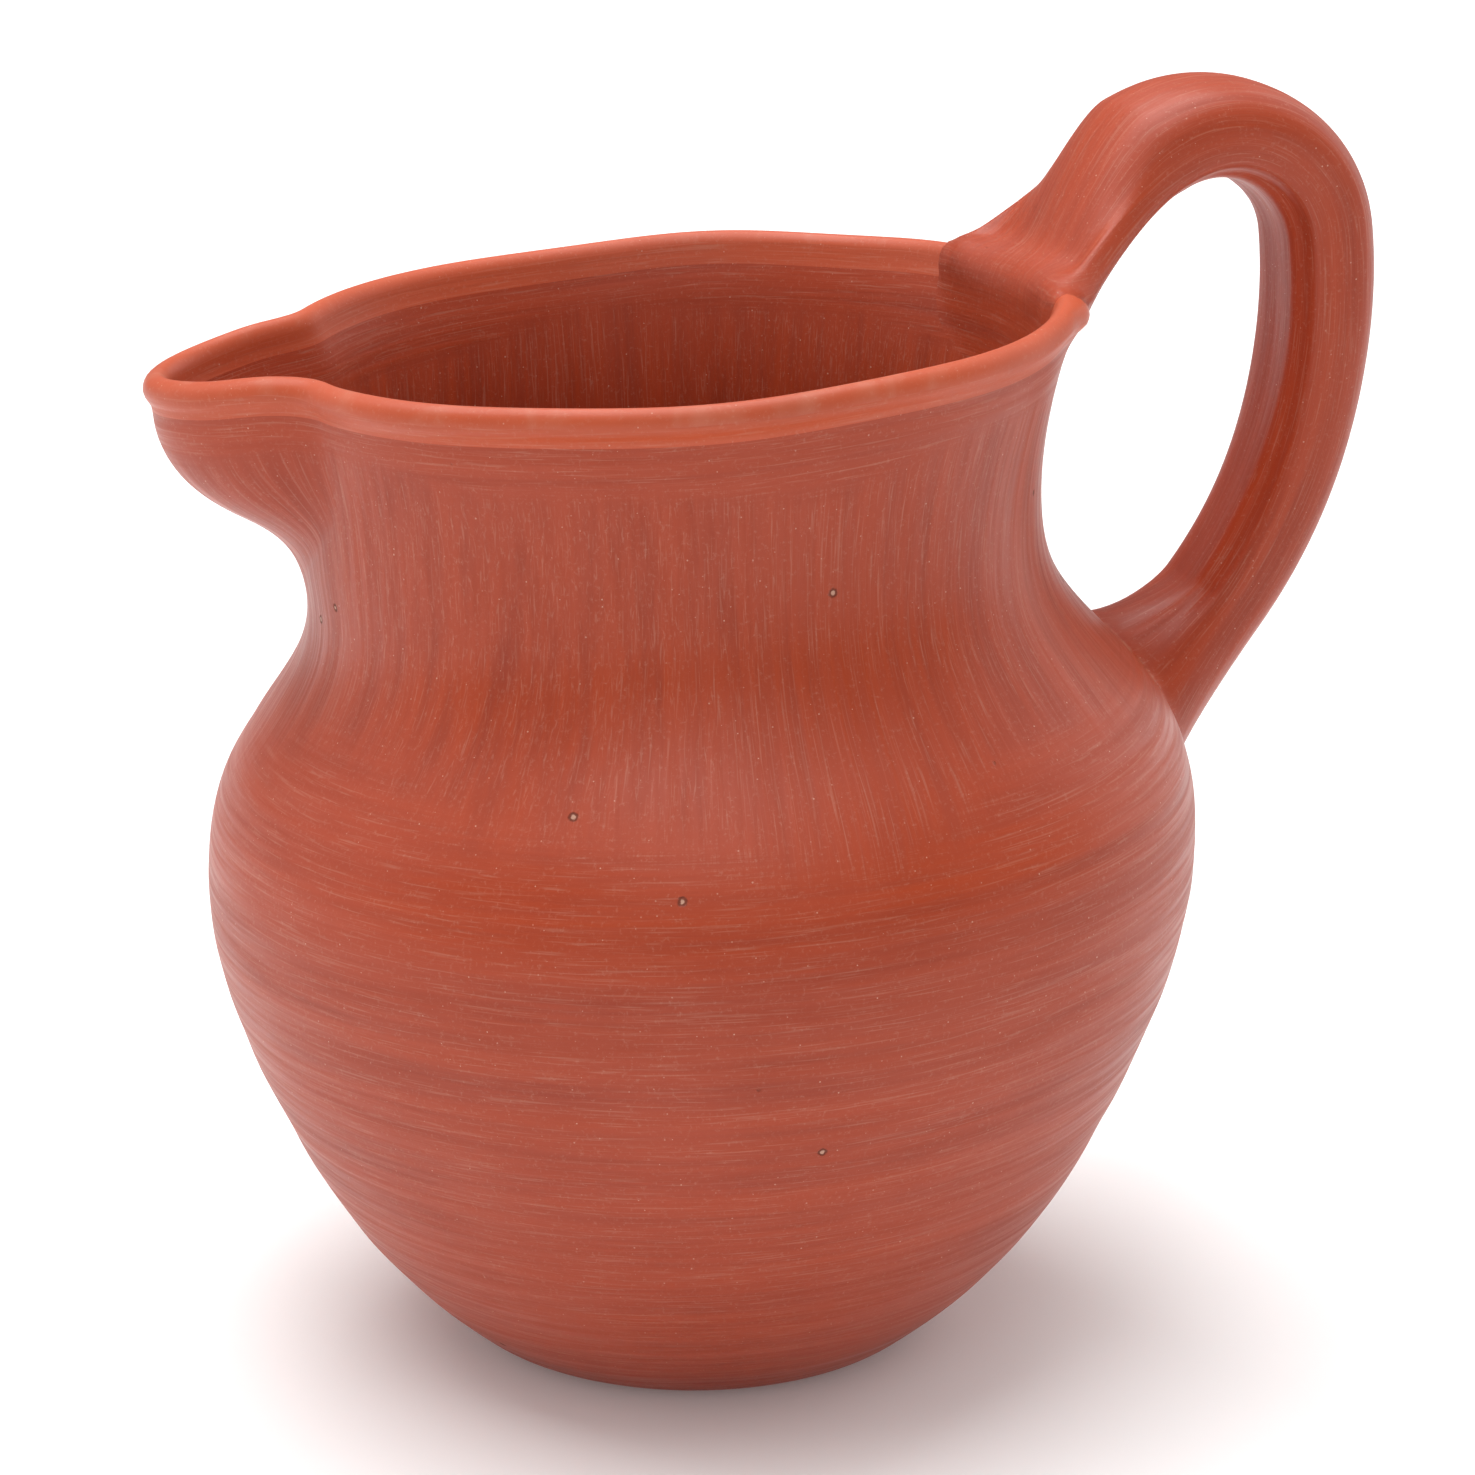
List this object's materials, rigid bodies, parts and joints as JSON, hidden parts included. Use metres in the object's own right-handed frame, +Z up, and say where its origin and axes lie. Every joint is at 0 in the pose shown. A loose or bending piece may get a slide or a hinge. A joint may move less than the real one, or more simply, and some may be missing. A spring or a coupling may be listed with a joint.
{
  "type": "ceramic pitcher",
  "caption": "Hand-built burnished clay pitcher: round belly, waisted neck, pinched pouring spout and one tall strap handle.",
  "frame": {"origin": "middle of the flat base, on the surface the pitcher stands on", "axes": "+Z up along the pot's axis, +X towards the handle, spout towards -X and a little to +Y"},
  "size_m": [0.2266, 0.179, 0.2237],
  "materials": {
    "burnished_clay": "burnished red terracotta, satin, unglazed"
  },
  "bodies": {
    "root": {"base_disc": "burnished_clay", "lower_wall": "burnished_clay", "belly_wall": "burnished_clay", "shoulder_wall": "burnished_clay", "neck_collar": "burnished_clay", "spout": "burnished_clay", "rim_coil": "burnished_clay", "handle_strap": "burnished_clay", "handle_upper_joint": "burnished_clay", "handle_lower_joint": "burnished_clay"}
  },
  "joints": []
}
